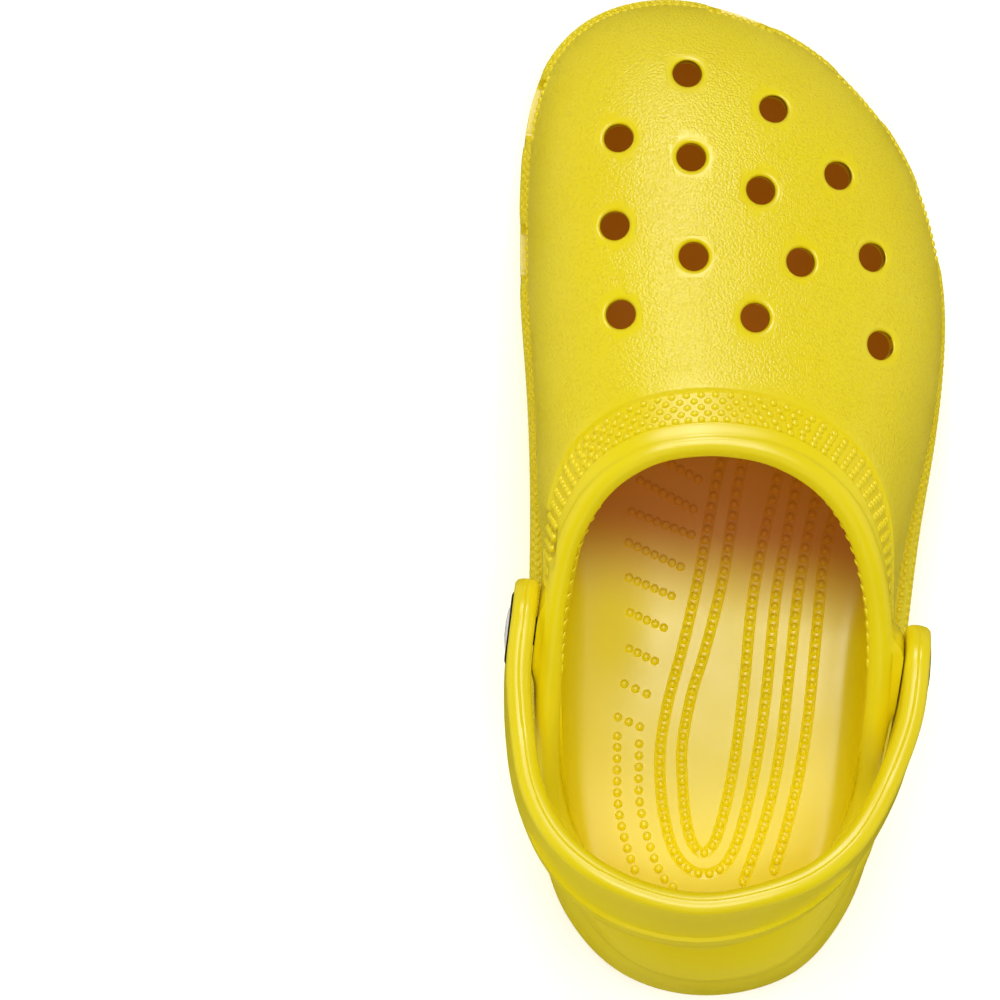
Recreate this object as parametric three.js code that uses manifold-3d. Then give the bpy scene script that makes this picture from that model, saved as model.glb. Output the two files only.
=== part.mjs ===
// A moulded foam garden clog for the right foot, with a heel strap that swivels on two button rivets.
// Millimetres, +Z up, +Y towards the toe, +X towards the outer side of the foot, sole on Z = 0.
import * as THREE from 'three';
import { mergeVertices } from 'three/addons/utils/BufferGeometryUtils.js';
import Module from 'manifold-3d';

const wasm = await Module();
wasm.setup();

// ---- Driving dimensions --------------------------------------------------------------------------

// Stations round the shoe, from the back of the heel along the outer side to the toe and back along
// the arch side. Each row: widest outline x, y; how far the wall stands in from it; collar crest x, y, z.
const STATIONS = [
  [-5, -142.6, 4, -7, -123.6, 46.5], [17, -138, 4, 9.5, -119.2, 47],
  [30.6, -126.5, 4, 23, -109.6, 48.5], [39, -112, 4, 32.4, -97.5, 51.5],
  [43.8, -96, 4.5, 37.2, -85.5, 55.5], [47.2, -77, 5, 39.2, -73, 62],
  [50.2, -55, 5.8, 40.3, -54, 74.5], [53, -33, 5.8, 40, -35, 82],
  [56.2, -8, 4.4, 37.5, -20, 88.5], [60.5, 18, 2.4, 33, -7.5, 93.5],
  [63.05, 47, 1.5, 26.5, 2, 97], [61, 70, 1.3, 18.5, 8.5, 99.5],
  [54, 93, 1.3, 10, 12.6, 101], [41, 113.5, 1.4, 2.5, 14.5, 101.6],
  [22, 130.5, 1.6, -4, 15.3, 101.9], [-1, 140.4, 1.8, -8.5, 15.4, 102],
  [-21, 142.6, 2, -13, 15.1, 102], [-39, 137, 2, -18, 14.4, 101.6],
  [-51.5, 123.5, 2, -23.5, 12.9, 101], [-57, 105, 2, -29, 10.2, 99.5],
  [-58.4, 84, 2, -34, 6.7, 97.6], [-58.3, 60, 2, -38.5, 2, 95],
  [-56.7, 36, 2, -42.3, -4, 92], [-55.6, 13, 2, -45.8, -12, 88.5],
  [-55.4, -12, 3, -48.2, -23, 84], [-56, -36, 4, -50.1, -38, 79],
  [-56.6, -58, 4.1, -50.9, -57, 70.5], [-55.6, -78, 3.6, -50.4, -74, 62],
  [-52.8, -97, 3.2, -48, -88.5, 55], [-48.2, -113.5, 3.4, -42.6, -101, 51],
  [-39, -128, 3.8, -33.8, -112.2, 48.5], [-25.4, -138.3, 4, -21.8, -120.2, 47],
];
const TOE_SPRING = { from: 45, to: 143, rise: 12 };
const HEEL_KICK = { from: -108, to: -143, rise: 6 };
// Sole side from the ground edge to the widest line: inset from the outline, height, share of the lift.
const SOLE_SIDE = [[7, 0, 1], [3.2, 1.6, 1], [1.2, 5, 1], [0.3, 12, 0.8], [0, 20, 0.55], [0.5, 27, 0.35]];
const FOLD_HEIGHT = 30.5; // the line where the sole side ends and the upper's wall starts
const FOLD_LIFT = 0.3;
const WALL = 4.6; // thickness of the upper
const WALL_AT_FOLD = 5.5;
const LIP_RADIUS = 3.6; // rolled edge of the collar
// The wall's slope in degrees just below the lip, from the mean rise between the fold and the collar.
const LIP_SLOPE = { atThirty: 12, gain: 1.435, least: 10, most: 82 };
const WALL_FULLNESS = { fold: 0.31, lip: 0.4 }; // how far the wall bulges at its two ends
const FOOTBED = { heel: 27, ball: 21.5, toeRise: 5.5, arch: 5 };

const VENT_DIAMETER = 8.1;
// How strongly a vent's axis is pulled from the wall's normal towards vertical, on steep and on level walls.
const VENT_PULL = { steep: 0.8, level: 5.8 };
const VENTS = [ // plan positions of the vent holes in the vamp
  [-12.5, 118], [11.4, 108.2], [-31.7, 99.6], [-11.9, 94], [7.2, 84.9], [29.3, 89.8], [-33, 75],
  [-11.6, 66.3], [18, 65.1], [38.6, 67.1], [-31.5, 50.5], [5.1, 49.6], [40.5, 42.6],
];
const PORT_HEIGHT = 6.5;
const PORT_CENTRE_Z = 27;
const PORTS = [ // drain ports above the sole: plan position on the outline, and length
  [-55.5, 111.6, 18], [-58.3, 71, 16], [4.5, 139, 16.5], [38.9, 115.8, 16], [59.5, 79, 18.5],
];

// The pivot axis runs from rivet to rivet, askew in plan because the arch-side rivet is further forward.
const PIVOT_CENTRE = new THREE.Vector3(-4.05, -42.35, 66);
const PIVOT_SKEW = -6.8; // degrees about Z
const STRAP_TILT = 15; // degrees: how far the strap's back is raised when it rests behind the heel
const STRAP_SLANT = { arm: 4.5, back: 16 }; // degrees: the band's top leans inwards
const STRAP_THICKNESS = 6.8;
const EAR_RADIUS = 14.2;
const EAR_BLEND = 36; // length over which the ear narrows into the arm
const EAR_INNER = 51.15; // from the pivot's centre to the ear's inner face, along the axis
const ARM_HALF_HEIGHT = 8.3;
const BACK_HALF_HEIGHT = 12.3;
const BAND_GROWS = [40, 85]; // distances from the ear between which the band gets its full height
const BAND_LEANS = [45, 95]; // and its full slant
// Plan positions of the band's middle line, from behind the arch-side ear round the heel.
const STRAP_LINE = [
  [-58.9, -64], [-56.1, -81], [-48.2, -96.6], [-34, -108.5], [-9.5, -114.8], [16.7, -108.3],
  [32.3, -95.6], [41.6, -80.5], [46.4, -68.5],
];

const GAP = 0.3;
const SHANK_RADIUS = 4;
const HEAD_RADIUS = 10.3;
const HEAD_SEAT_DEPTH = 2.6; // counterbore in the ear
const HEAD_THICKNESS = 2.6;
const EMBLEM_RADIUS = 7.3;
const EMBLEM_SINK = 1;
const CAP_RADIUS = 7.5;
const CAP_SEAT = 47.6; // from the pivot's centre to the flat spot sunk into the collar's inner wall
const CAP_SLEEVE_RADIUS = 5.3;

// Fineness of the skins.
const COLUMNS = 56;
const SECTION_POINTS = 12;

// ---- Solids --------------------------------------------------------------------------------------

function solidOf(geometry) {
  const bare = geometry.clone();
  bare.deleteAttribute('normal');
  bare.deleteAttribute('uv');
  const merged = mergeVertices(bare, 1e-4);
  return new wasm.Manifold(new wasm.Mesh({
    numProp: 3,
    vertProperties: new Float32Array(merged.attributes.position.array),
    triVerts: new Uint32Array(merged.index.array),
  }));
}

function geometryOf(solid) {
  const mesh = solid.getMesh();
  const geometry = new THREE.BufferGeometry();
  geometry.setAttribute('position', new THREE.BufferAttribute(new Float32Array(mesh.vertProperties), 3));
  geometry.setIndex(Array.from(mesh.triVerts));
  geometry.computeVertexNormals();
  return geometry;
}

const cutAll = (solid, cutters) => cutters.reduce((left, cutter) => left.subtract(solidOf(cutter)), solid);

// A closed solid skinned over rings of equally many points, closed by a point at each end.
function loft(startPoint, rings, endPoint) {
  const count = rings[0].length;
  const points = [startPoint, ...rings.flat(), endPoint];
  const last = points.length - 1;
  const faces = [];
  const at = (ring, i) => 1 + ring * count + (i % count);
  for (let i = 0; i < count; i++) {
    faces.push(0, at(0, i + 1), at(0, i));
    faces.push(last, at(rings.length - 1, i), at(rings.length - 1, i + 1));
    for (let ring = 0; ring + 1 < rings.length; ring++) {
      faces.push(at(ring, i), at(ring + 1, i + 1), at(ring + 1, i));
      faces.push(at(ring, i), at(ring, i + 1), at(ring + 1, i + 1));
    }
  }
  const geometry = new THREE.BufferGeometry().setFromPoints(points);
  geometry.setIndex(faces);
  return geometry;
}

// ---- The shoe's surface --------------------------------------------------------------------------

const loop = (pick) => new THREE.CatmullRomCurve3(STATIONS.map(pick), true, 'catmullrom', 0.5);
const outline = loop(([x, y, inset]) => new THREE.Vector3(x, y, inset));
const crest = loop(([, , , x, y, z]) => new THREE.Vector3(x, y, z));

const smooth = (from, to, value) => THREE.MathUtils.smoothstep(value, from, to);
const square = (value) => value * value;
const UP = new THREE.Vector3(0, 0, 1);

function outwardNormal(curve, u) {
  const tangent = curve.getTangent(u);
  return new THREE.Vector3(tangent.y, -tangent.x, 0).normalize();
}

// How far the underside has risen off the ground at a place along the foot.
function lift(y) {
  const toe = Math.max(0, (y - TOE_SPRING.from) / (TOE_SPRING.to - TOE_SPRING.from));
  const heel = Math.max(0, (y - HEEL_KICK.from) / (HEEL_KICK.to - HEEL_KICK.from));
  return TOE_SPRING.rise * square(toe) + HEEL_KICK.rise * square(heel);
}

function footbedHeight(x, y) {
  const along = THREE.MathUtils.lerp(FOOTBED.heel, FOOTBED.ball, smooth(-70, 30, y));
  const toe = FOOTBED.toeRise * square(smooth(60, 145, y));
  const arch = FOOTBED.arch * Math.exp(-square((y + 28) / 34)) * smooth(18, 48, -x);
  return along + toe + arch;
}

// Everything that the section at station u is built from.
function sectionAt(u) {
  const edge = outline.getPoint(u);
  const inset = edge.z;
  edge.z = 0;
  const normal = outwardNormal(outline, u);
  const top = crest.getPoint(u);
  const base = edge.clone().addScaledVector(normal, -inset);
  base.z = FOLD_HEIGHT + FOLD_LIFT * lift(edge.y);
  const across = base.clone().sub(top).setZ(0);
  const rise = THREE.MathUtils.radToDeg(Math.atan2(top.z - base.z, across.length()));
  const steepness = LIP_SLOPE.atThirty + LIP_SLOPE.gain * (rise - 30);
  const slope = THREE.MathUtils.degToRad(THREE.MathUtils.clamp(steepness, LIP_SLOPE.least, LIP_SLOPE.most));
  const heading = across.normalize().add(outwardNormal(crest, u)).normalize();
  const down = heading.clone().multiplyScalar(Math.cos(slope)).addScaledVector(UP, -Math.sin(slope));
  const facing = heading.clone().multiplyScalar(Math.sin(slope)).addScaledVector(UP, Math.cos(slope));
  const lipCentre = top.clone().addScaledVector(UP, -LIP_RADIUS);
  const lipStart = lipCentre.clone().addScaledVector(facing, LIP_RADIUS);
  const chord = lipStart.distanceTo(base);
  const wall = new THREE.CubicBezierCurve3(
    base, base.clone().addScaledVector(UP, WALL_FULLNESS.fold * chord),
    lipStart.clone().addScaledVector(down, WALL_FULLNESS.lip * chord), lipStart,
  );
  return { edge, normal, base, down, facing, lipCentre, wall };
}

const wallPoint = (u, v) => sectionAt(((u % 1) + 1) % 1).wall.getPoint(v);

function wallNormal(u, v) {
  const step = 1e-3;
  const along = wallPoint(u + step, v).sub(wallPoint(u - step, v));
  const rise = wallPoint(u, Math.min(1, v + step)).sub(wallPoint(u, Math.max(0, v - step)));
  return along.cross(rise).normalize();
}

function wallThickness(v) {
  const nearFold = (WALL_AT_FOLD - WALL) * (1 - smooth(0, 0.3, v));
  return WALL + nearFold + (2 * LIP_RADIUS - WALL) * smooth(0.8, 1, v);
}

const BOTTOM_CENTRE = new THREE.Vector2(-3, -20);

// A point between the middle of the sole and a plan position.
const towards = (edge, share) => new THREE.Vector2(edge.x, edge.y).sub(BOTTOM_CENTRE)
  .multiplyScalar(share).add(BOTTOM_CENTRE);

function columnAt(u) {
  const section = sectionAt(u);
  const column = [];
  const ground = section.edge.clone().addScaledVector(section.normal, -SOLE_SIDE[0][0]);
  for (const share of [0.3, 0.6, 0.8, 0.92]) {
    const place = towards(ground, share);
    column.push(new THREE.Vector3(place.x, place.y, lift(place.y)));
  }
  for (const [inset, height, share] of SOLE_SIDE) {
    const point = section.edge.clone().addScaledVector(section.normal, -inset);
    column.push(point.setZ(height + share * lift(point.y)));
  }
  const steps = 8;
  for (let i = 0; i <= steps; i++) column.push(section.wall.getPoint(i / steps));
  for (const degrees of [36, 72, 108, 144]) {
    const angle = THREE.MathUtils.degToRad(degrees);
    column.push(section.lipCentre.clone()
      .addScaledVector(section.facing, LIP_RADIUS * Math.cos(angle))
      .addScaledVector(section.down, -LIP_RADIUS * Math.sin(angle)));
  }
  for (let i = steps; i >= 0; i--) {
    const v = i / steps;
    column.push(section.wall.getPoint(v).addScaledVector(wallNormal(u, v), -wallThickness(v)));
  }
  for (const [inset, height] of [[0.9, 4], [3.2, 1.2], [7, 0.1]]) {
    const point = section.base.clone().addScaledVector(section.normal, -WALL_AT_FOLD - inset);
    column.push(point.setZ(footbedHeight(point.x, point.y) + height));
  }
  const rim = section.base.clone().addScaledVector(section.normal, -WALL_AT_FOLD - 7);
  for (const share of [0.8, 0.55, 0.3]) {
    const place = towards(rim, share);
    column.push(new THREE.Vector3(place.x, place.y, footbedHeight(place.x, place.y)));
  }
  return column;
}

// The wall position whose plan place is nearest to x, y.
function wallPlace(x, y) {
  let best = { distance: Infinity };
  const search = (u0, u1, v0, v1, steps) => {
    for (let i = 0; i <= steps; i++) {
      for (let j = 0; j <= steps; j++) {
        const u = u0 + (u1 - u0) * i / steps;
        const v = v0 + (v1 - v0) * j / steps;
        const point = wallPoint(u, v);
        const distance = Math.hypot(point.x - x, point.y - y);
        if (distance < best.distance) best = { distance, u, v, point };
      }
    }
  };
  search(0.25, 0.75, 0.2, 1, 40);
  for (const reach of [0.02, 0.003]) {
    search(best.u - reach, best.u + reach, best.v - 2 * reach, Math.min(1, best.v + 2 * reach), 12);
  }
  return best;
}

function ventCutter([x, y]) {
  const { u, v, point } = wallPlace(x, y);
  const normal = wallNormal(u, v);
  const pull = THREE.MathUtils.lerp(VENT_PULL.steep, VENT_PULL.level, smooth(0.3, 0.7, normal.z));
  const axis = normal.addScaledVector(UP, pull).normalize();
  const cutter = new THREE.CylinderGeometry(VENT_DIAMETER / 2, VENT_DIAMETER / 2, 24, 12);
  cutter.applyQuaternion(new THREE.Quaternion().setFromUnitVectors(new THREE.Vector3(0, 1, 0), axis));
  return cutter.translate(point.x, point.y, point.z);
}

function portCutter([x, y, length]) {
  let best = { distance: Infinity };
  for (let i = 0; i < 2000; i++) {
    const point = outline.getPoint(i / 2000);
    const distance = Math.hypot(point.x - x, point.y - y);
    if (distance < best.distance) best = { distance, u: i / 2000, point };
  }
  const half = PORT_HEIGHT / 2;
  const straight = length / 2 - half;
  const shape = new THREE.Shape();
  shape.moveTo(-straight, -half);
  shape.lineTo(straight, -half);
  shape.absarc(straight, 0, half, -Math.PI / 2, Math.PI / 2, false);
  shape.lineTo(-straight, half);
  shape.absarc(-straight, 0, half, Math.PI / 2, 1.5 * Math.PI, false);
  const depth = 26;
  const cutter = new THREE.ExtrudeGeometry(shape, { depth, bevelEnabled: false, curveSegments: 4 });
  const normal = outwardNormal(outline, best.u);
  const along = new THREE.Vector3(-normal.y, normal.x, 0);
  cutter.translate(0, 0, 6 - depth);
  cutter.applyMatrix4(new THREE.Matrix4().makeBasis(along, UP, normal));
  return cutter.translate(best.point.x, best.point.y, PORT_CENTRE_Z + 0.5 * lift(y));
}

// ---- The pivot -----------------------------------------------------------------------------------

const skew = THREE.MathUtils.degToRad(PIVOT_SKEW);
const tilt = THREE.MathUtils.degToRad(STRAP_TILT);
const AXIS = new THREE.Vector3(Math.cos(skew), Math.sin(skew), 0); // towards the outer side
const BEHIND = new THREE.Vector3(Math.sin(skew), -Math.cos(skew), 0); // level, square to the axis
const STRAP_BACK = BEHIND.clone().multiplyScalar(Math.cos(tilt)).addScaledVector(UP, Math.sin(tilt));
const STRAP_UP = AXIS.clone().cross(STRAP_BACK).negate();

const onAxis = (side, distance) => PIVOT_CENTRE.clone().addScaledVector(AXIS, side * distance);

// A turned shape whose profile is given as (radius, distance from the pivot's centre) along the axis.
function turned(side, profile, segments = 18) {
  const shape = new THREE.LatheGeometry(profile.map(([r, s]) => new THREE.Vector2(r, s)), segments);
  const outward = AXIS.clone().multiplyScalar(side);
  shape.applyQuaternion(new THREE.Quaternion().setFromUnitVectors(new THREE.Vector3(0, 1, 0), outward));
  return shape.translate(PIVOT_CENTRE.x, PIVOT_CENTRE.y, PIVOT_CENTRE.z);
}

const drill = (side, radius, from, to) => turned(side, [[0, from], [radius, from], [radius, to], [0, to]]);

const EAR_OUTER = EAR_INNER + STRAP_THICKNESS;
const HEAD_SEAT = EAR_OUTER - HEAD_SEAT_DEPTH;
const HEAD_BACK = HEAD_SEAT + GAP;
const HEAD_FACE = HEAD_BACK + HEAD_THICKNESS;
const CAP_FACE = CAP_SEAT - GAP;
const CAP_FLOOR = CAP_FACE - 0.9;

// ---- Pieces --------------------------------------------------------------------------------------

function clogBody() {
  const columns = Array.from({ length: COLUMNS }, (_, i) => columnAt(i / COLUMNS));
  const rings = columns[0].map((_, row) => columns.map((column) => column[row]));
  const centre = BOTTOM_CENTRE;
  const sole = new THREE.Vector3(centre.x, centre.y, 0);
  const footbed = new THREE.Vector3(centre.x, centre.y, footbedHeight(centre.x, centre.y));
  const skin = solidOf(loft(sole, rings, footbed));
  const rivetHoles = [-1, 1].flatMap((side) => [
    drill(side, CAP_SLEEVE_RADIUS + GAP, CAP_SEAT - 12, EAR_INNER + 3),
    drill(side, CAP_RADIUS + GAP, CAP_SEAT - 12, CAP_SEAT),
  ]);
  return geometryOf(cutAll(skin, [...VENTS.map(ventCutter), ...PORTS.map(portCutter), ...rivetHoles]));
}

// Place on the strap's middle line: its plan position raised onto the strap's tilted plane.
function onStrapPlane([x, y]) {
  const offset = new THREE.Vector3(x, y, 0).sub(PIVOT_CENTRE).setZ(0);
  const behind = offset.dot(BEHIND);
  return new THREE.Vector3(x, y, PIVOT_CENTRE.z + behind * Math.tan(tilt));
}

function strapSection(point, along, halfThickness, halfHeight, slant) {
  const out = along.clone().cross(STRAP_UP).normalize();
  const high = STRAP_UP.clone().multiplyScalar(Math.cos(slant)).addScaledVector(out, -Math.sin(slant));
  const wide = out.clone().multiplyScalar(Math.cos(slant)).addScaledVector(STRAP_UP, Math.sin(slant));
  const rounded = (value, power) => Math.sign(value) * Math.abs(value) ** power;
  return Array.from({ length: SECTION_POINTS }, (_, i) => {
    const angle = -(i / SECTION_POINTS) * 2 * Math.PI;
    return point.clone()
      .addScaledVector(wide, halfThickness * rounded(Math.cos(angle), 0.5))
      .addScaledVector(high, halfHeight * rounded(Math.sin(angle), 0.8));
  });
}

function heelStrap() {
  const middle = EAR_INNER + STRAP_THICKNESS / 2;
  const archEar = onAxis(-1, middle);
  const outerEar = onAxis(1, middle);
  const behindEar = (ear) => ear.clone().addScaledVector(STRAP_BACK, 0.8 * EAR_RADIUS);
  const line = new THREE.CatmullRomCurve3([
    archEar, behindEar(archEar), ...STRAP_LINE.map(onStrapPlane), behindEar(outerEar), outerEar,
  ], false, 'centripetal');
  const length = line.getLength();
  const half = STRAP_THICKNESS / 2;
  const ends = [8, 24, 42, 62, 80]; // degrees round the ear's free edge
  const rings = [];
  const earRings = (ear, along, angles) => angles.forEach((degrees) => {
    const angle = THREE.MathUtils.degToRad(degrees);
    const centre = ear.clone().addScaledVector(STRAP_BACK, -EAR_RADIUS * Math.cos(angle));
    const thickness = half * Math.min(1, 0.75 + degrees / 120);
    rings.push(strapSection(centre, along, thickness, EAR_RADIUS * Math.sin(angle), 0));
  });
  earRings(archEar, STRAP_BACK, ends);
  const steps = 32;
  for (let i = 0; i <= steps; i++) {
    const share = i / steps;
    const fromEar = Math.min(share, 1 - share) * length;
    const band = THREE.MathUtils.lerp(ARM_HALF_HEIGHT, BACK_HALF_HEIGHT, smooth(...BAND_GROWS, fromEar));
    const height = THREE.MathUtils.lerp(EAR_RADIUS, band, smooth(0, EAR_BLEND, fromEar));
    const lean = THREE.MathUtils.lerp(STRAP_SLANT.arm, STRAP_SLANT.back, smooth(...BAND_LEANS, fromEar));
    const slant = THREE.MathUtils.degToRad(lean * smooth(EAR_RADIUS, EAR_BLEND, fromEar));
    rings.push(strapSection(line.getPointAt(share), line.getTangentAt(share), half, height, slant));
  }
  earRings(outerEar, STRAP_BACK.clone().negate(), [...ends].reverse());
  const tip = (ear) => ear.clone().addScaledVector(STRAP_BACK, -EAR_RADIUS);
  const band = solidOf(loft(tip(archEar), rings, tip(outerEar)));
  const rivetHoles = [-1, 1].flatMap((side) => [
    drill(side, SHANK_RADIUS + GAP, EAR_INNER - 2, EAR_OUTER + 2),
    drill(side, HEAD_RADIUS + 0.4, HEAD_SEAT, EAR_OUTER + 2),
  ]);
  return geometryOf(cutAll(band, rivetHoles));
}

const rivetHead = (side) => turned(side, [
  [0, CAP_FLOOR + GAP], [SHANK_RADIUS - 0.4, CAP_FLOOR + GAP], [SHANK_RADIUS, CAP_FLOOR + GAP + 0.6],
  [SHANK_RADIUS, HEAD_BACK], [HEAD_RADIUS, HEAD_BACK], [HEAD_RADIUS, HEAD_FACE - 0.9],
  [HEAD_RADIUS - 0.6, HEAD_FACE - 0.2], [HEAD_RADIUS - 1.6, HEAD_FACE],
  [EMBLEM_RADIUS + 0.4, HEAD_FACE - 0.1], [EMBLEM_RADIUS + 0.4, HEAD_FACE - EMBLEM_SINK],
  [0, HEAD_FACE - EMBLEM_SINK],
]);

const rivetEmblem = (side) => turned(side, [
  [0, HEAD_FACE - EMBLEM_SINK + GAP], [EMBLEM_RADIUS, HEAD_FACE - EMBLEM_SINK + GAP],
  [EMBLEM_RADIUS, HEAD_FACE - 0.1], [EMBLEM_RADIUS - 1.2, HEAD_FACE + 0.15],
  [EMBLEM_RADIUS / 2, HEAD_FACE + 0.28], [0, HEAD_FACE + 0.3],
]);

const rivetCap = (side) => turned(side, [
  [0, CAP_FLOOR - 1], [5, CAP_FLOOR - 0.9], [CAP_RADIUS - 0.5, CAP_FLOOR - 0.5],
  [CAP_RADIUS, CAP_FLOOR], [CAP_RADIUS, CAP_FACE], [CAP_SLEEVE_RADIUS, CAP_FACE],
  [CAP_SLEEVE_RADIUS, CAP_SEAT + 2.2], [SHANK_RADIUS + GAP, CAP_SEAT + 2.2],
  [SHANK_RADIUS + GAP, CAP_FLOOR], [0, CAP_FLOOR],
]);

// ---- Assembly ------------------------------------------------------------------------------------

const YELLOW = { color: 0xe3cf1e, roughness: 0.48, metalness: 0 };
const BLACK = { color: 0x141414, roughness: 0.35, metalness: 0 };
const PALE = { color: 0xe8e6e0, roughness: 0.3, metalness: 0 };

const clog = new THREE.Group();
function add(name, geometry, looks) {
  const piece = new THREE.Mesh(geometry, new THREE.MeshStandardMaterial(looks));
  piece.name = name;
  clog.add(piece);
}
add('clog_body', clogBody(), YELLOW);
add('heel_strap', heelStrap(), YELLOW);
for (const [side, name] of [[-1, 'medial'], [1, 'lateral']]) {
  add(`rivet_head_${name}`, rivetHead(side), BLACK);
  add(`rivet_emblem_${name}`, rivetEmblem(side), PALE);
  add(`rivet_cap_${name}`, rivetCap(side), BLACK);
}

export default clog;
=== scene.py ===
import math

import bpy
import numpy as np
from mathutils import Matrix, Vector
from mathutils.bvhtree import BVHTree


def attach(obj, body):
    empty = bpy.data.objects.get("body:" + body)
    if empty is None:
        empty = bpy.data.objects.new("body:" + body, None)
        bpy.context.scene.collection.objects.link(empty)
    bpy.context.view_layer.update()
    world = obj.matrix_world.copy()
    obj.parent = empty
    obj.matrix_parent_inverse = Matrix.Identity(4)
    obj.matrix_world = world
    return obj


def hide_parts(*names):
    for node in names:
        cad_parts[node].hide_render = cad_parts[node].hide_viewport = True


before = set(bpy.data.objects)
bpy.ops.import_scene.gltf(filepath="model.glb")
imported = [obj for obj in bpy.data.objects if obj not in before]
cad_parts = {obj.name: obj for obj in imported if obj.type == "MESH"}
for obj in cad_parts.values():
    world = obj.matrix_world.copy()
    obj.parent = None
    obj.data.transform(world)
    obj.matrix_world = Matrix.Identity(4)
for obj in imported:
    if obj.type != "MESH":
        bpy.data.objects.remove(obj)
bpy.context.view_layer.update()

# A moulded foam garden clog. The shape is worked out in millimetres and made in metres.
MM = 0.001

# ---- Driving dimensions, as in the CAD model ----

# Stations round the shoe, from the back of the heel along the outer side to the toe and back along
# the arch side. Each row: widest outline x, y; inset of the wall; collar crest x, y, z.
STATIONS = np.array([
    [-5, -142.6, 4, -7, -123.6, 46.5], [17, -138, 4, 9.5, -119.2, 47],
    [30.6, -126.5, 4, 23, -109.6, 48.5], [39, -112, 4, 32.4, -97.5, 51.5],
    [43.8, -96, 4.5, 37.2, -85.5, 55.5], [47.2, -77, 5, 39.2, -73, 62],
    [50.2, -55, 5.8, 40.3, -54, 74.5], [53, -33, 5.8, 40, -35, 82],
    [56.2, -8, 4.4, 37.5, -20, 88.5], [60.5, 18, 2.4, 33, -7.5, 93.5],
    [63.05, 47, 1.5, 26.5, 2, 97], [61, 70, 1.3, 18.5, 8.5, 99.5],
    [54, 93, 1.3, 10, 12.6, 101], [41, 113.5, 1.4, 2.5, 14.5, 101.6],
    [22, 130.5, 1.6, -4, 15.3, 101.9], [-1, 140.4, 1.8, -8.5, 15.4, 102],
    [-21, 142.6, 2, -13, 15.1, 102], [-39, 137, 2, -18, 14.4, 101.6],
    [-51.5, 123.5, 2, -23.5, 12.9, 101], [-57, 105, 2, -29, 10.2, 99.5],
    [-58.4, 84, 2, -34, 6.7, 97.6], [-58.3, 60, 2, -38.5, 2, 95],
    [-56.7, 36, 2, -42.3, -4, 92], [-55.6, 13, 2, -45.8, -12, 88.5],
    [-55.4, -12, 3, -48.2, -23, 84], [-56, -36, 4, -50.1, -38, 79],
    [-56.6, -58, 4.1, -50.9, -57, 70.5], [-55.6, -78, 3.6, -50.4, -74, 62],
    [-52.8, -97, 3.2, -48, -88.5, 55], [-48.2, -113.5, 3.4, -42.6, -101, 51],
    [-39, -128, 3.8, -33.8, -112.2, 48.5], [-25.4, -138.3, 4, -21.8, -120.2, 47],
], float)
FRONT = 16 / 32  # the station parameter of the toe's middle
TOE_SPRING = (45, 143, 12)  # from, to, rise
HEEL_KICK = (-108, -143, 6)
FOLD_HEIGHT = 30.5
FOLD_LIFT = 0.3
WALL = 4.6
WALL_AT_FOLD = 5.5
LIP_RADIUS = 3.6
FILLET = 6.5  # rounding between the footbed and the wall
LIP_SLOPE = (12, 1.435, 10, 82)  # degrees at a mean rise of 30, gain, least, most
WALL_FULLNESS = (0.31, 0.4)  # at the fold and at the lip
HEEL_SPAN = (-124, -96)  # the heel's own shape fades out between these
HEEL_INSET = 1.2  # how much further in the wall starts there
HEEL_LEAN = (-0.9, 1.3)  # how far in the sole's side stands there, low and high
HEEL_LEAN_RISE = (8, 27)  # the heights between which that lean changes
FOLD_SOFTENING = (0.03, 1)  # along the shoe, and at the back of the heel
FOLD_PASSES = 140
FOOTBED_HEIGHTS = (27, 21.5)  # at the heel and at the ball of the foot
FOOTBED_FALL = (-70, 30)  # from, to
TOE_RISE = (60, 145, 5.5)  # from, to, rise
ARCH_RISE = (5, -28, 34)  # height, middle and spread along the foot
ARCH_SIDE = (18, 48)  # from, to, towards the arch side
CENTRE = np.array([-3.0, -20.0])  # middle of the sole, which its rings shrink towards

VENT_RADIUS = 4.05
VENT_PULL = (0.8, 5.8)  # how strongly a vent turns upright, on steep and on level walls
VENTS = [
    (-12.5, 118), (11.4, 108.2), (-31.7, 99.6), (-11.9, 94), (7.2, 84.9), (29.3, 89.8), (-33, 75),
    (-11.6, 66.3), (18, 65.1), (38.6, 67.1), (-31.5, 50.5), (5.1, 49.6), (40.5, 42.6),
]
PORT_HEIGHT = 6.5
PORT_CENTRE_Z = 27
PORTS = [(-55.5, 111.6, 18), (-58.3, 71, 16), (4.5, 139, 16.5), (38.9, 115.8, 16), (59.5, 79, 18.5)]

BOSS = (10.5, 15.5)  # radii between which the boss round a rivet falls away
BOSS_GAP = 0.45
# How far out the wall may reach where the arms swing: side, reach, radii about the pivot. On the
# arch side this is too tight in front of the ear, and dents the wall through to the inside.
SWEEP_CLEARANCE = [(1, 49.45, 17, 30), (-1, 48.0, 23, 32)]
PIVOT = np.array([-4.05, -42.35, 66.0])
SKEW = math.radians(-6.8)
TILT = math.radians(15)
STRAP_SLANT = (math.radians(4.5), math.radians(16))  # of the arms, of the back
BAND_GROWS = (40, 85)  # distances from the ear between which the back grows taller
BAND_LEANS = (45, 95)  # and leans over
STRAP_THICKNESS = 6.8
STRAP_CORNER = 2.7
STRAP_PASSES = 30  # of evening out the bends in its line
PANEL_STARTS = (54, 60)  # distances from the ear between which the blank panel sinks in
PANEL_DEPTH = 1.0
PANEL_EDGES = (0.46, -0.66)  # its top and bottom, as shares of the flat of the outer face
SEAM = (0.28, 0.22)  # half width and depth of the mould's parting groove
EAR_RADIUS = 14.2
EAR_BLEND = 36
EAR_INNER = 51.15
ARM_HALF_HEIGHT = 8.3
BACK_HALF_HEIGHT = 12.3
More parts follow.
